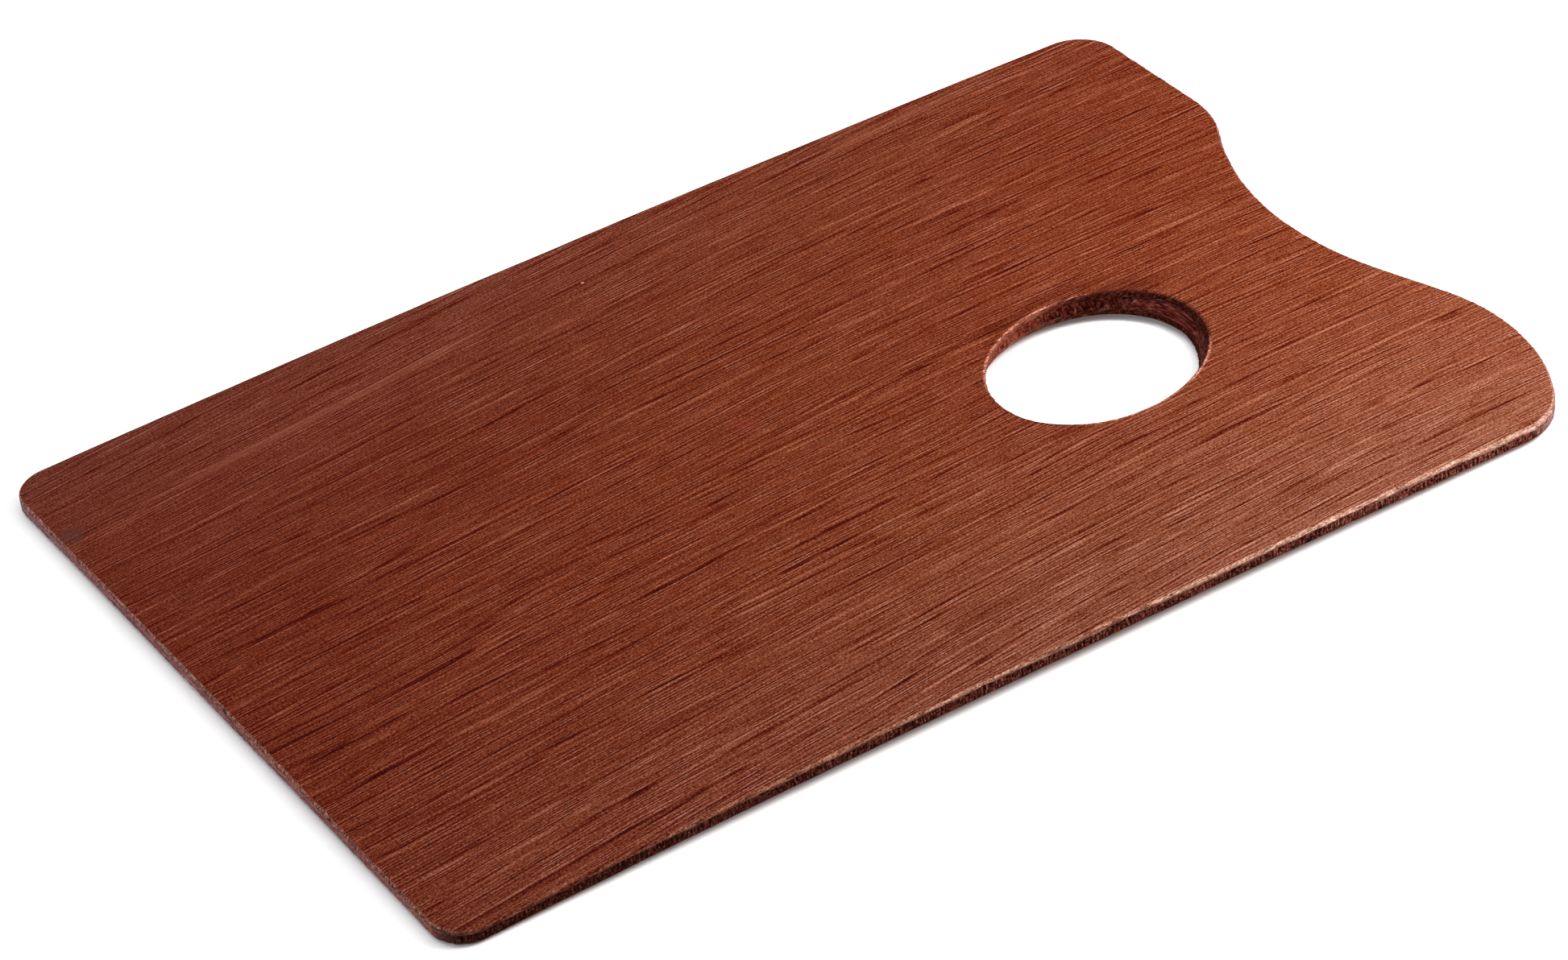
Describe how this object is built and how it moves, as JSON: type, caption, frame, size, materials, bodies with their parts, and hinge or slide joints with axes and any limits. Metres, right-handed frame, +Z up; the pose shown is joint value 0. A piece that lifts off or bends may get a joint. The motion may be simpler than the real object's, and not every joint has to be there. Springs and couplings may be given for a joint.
{
  "type": "mixing palette",
  "caption": "Rectangular plywood mixing palette with rounded corners, a slanted oval thumb hole and a hollow finger bay beside it.",
  "frame": {"origin": "centre of the underside of the rectangle the board is sawn from", "axes": "+X along the length and the face grain, towards the thumb hole and finger bay; +Y across the width; +Z up out of the mixing face"},
  "size_m": [0.35, 0.24, 0.005],
  "materials": {
    "face_veneer": "oiled satin, open grain along X",
    "core_veneer": "sawn and sanded edge, grain along Y",
    "back_veneer": "oiled satin, open grain along X",
    "glue": "cured dark resin, matte"
  },
  "bodies": {
    "root": {"face_ply": "face_veneer", "upper_glue_line": "glue", "core_ply": "core_veneer", "lower_glue_line": "glue", "back_ply": "back_veneer"}
  },
  "joints": []
}
